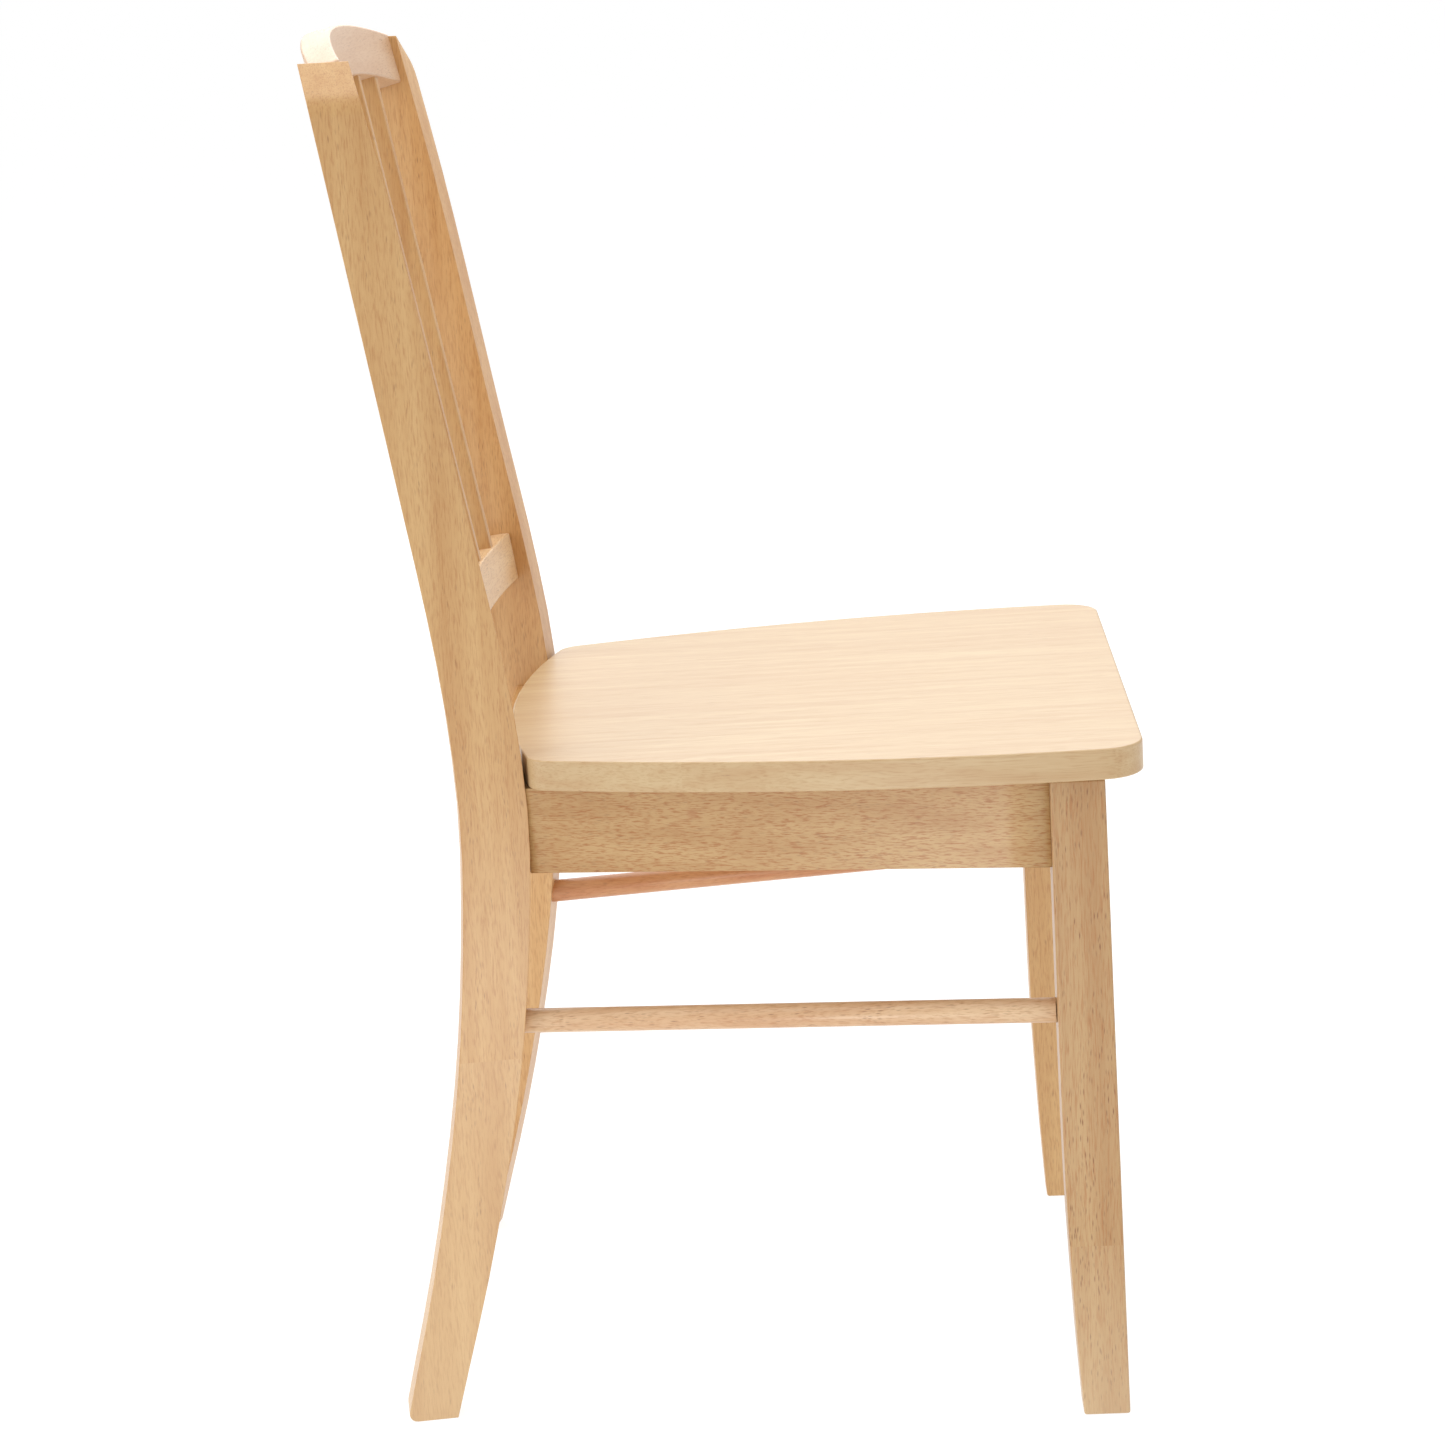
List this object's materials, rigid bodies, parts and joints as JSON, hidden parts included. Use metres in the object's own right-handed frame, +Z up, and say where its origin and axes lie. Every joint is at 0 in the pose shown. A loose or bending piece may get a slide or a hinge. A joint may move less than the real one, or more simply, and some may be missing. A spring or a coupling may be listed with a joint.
{
  "type": "dining chair",
  "caption": "Solid hardwood dining chair with sabre-curved back posts, an arched crest rail over slim vertical slats, tapered front legs, a flat shaped seat and round side stretchers.",
  "frame": {"origin": "on the floor, under the middle of the chair's bounding box", "axes": "+Z up; the sitter faces -Y and the back is at +Y; the sitter's right side is at -X"},
  "size_m": [0.422, 0.5182, 0.9032],
  "materials": {
    "lacquered_frame": "pale rubberwood under clear satin lacquer",
    "lacquered_seat": "edge-glued pale rubberwood boards under clear satin lacquer",
    "lacquered_back": "pale rubberwood under clear satin lacquer",
    "raw_block": "bare sawn wood",
    "zinc_screw": "zinc-plated steel"
  },
  "bodies": {
    "root": {"rear_post_right": "lacquered_frame", "rear_post_left": "lacquered_frame", "front_leg_right": "lacquered_frame", "front_leg_left": "lacquered_frame", "side_apron_right": "lacquered_frame", "side_apron_left": "lacquered_frame", "front_apron": "lacquered_frame", "rear_apron": "lacquered_frame", "seat_panel": "lacquered_seat", "crest_rail": "lacquered_back", "lower_back_rail": "lacquered_back", "back_slat_1": "lacquered_back", "back_slat_2": "lacquered_back", "back_slat_3": "lacquered_back", "back_slat_4": "lacquered_back", "back_slat_5": "lacquered_back", "side_stretcher_right": "lacquered_frame", "side_stretcher_left": "lacquered_frame", "front_corner_block_right": "raw_block", "front_corner_block_left": "raw_block", "rear_corner_block_right": "raw_block", "rear_corner_block_left": "raw_block", "front_block_screw_a_right": "zinc_screw", "front_block_screw_a_left": "zinc_screw", "front_block_screw_b_right": "zinc_screw", "front_block_screw_b_left": "zinc_screw", "rear_block_screw_a_right": "zinc_screw", "rear_block_screw_a_left": "zinc_screw", "rear_block_screw_b_right": "zinc_screw", "rear_block_screw_b_left": "zinc_screw", "front_seat_screw_right": "zinc_screw", "front_seat_screw_left": "zinc_screw", "rear_seat_screw_right": "zinc_screw", "rear_seat_screw_left": "zinc_screw"}
  },
  "joints": []
}
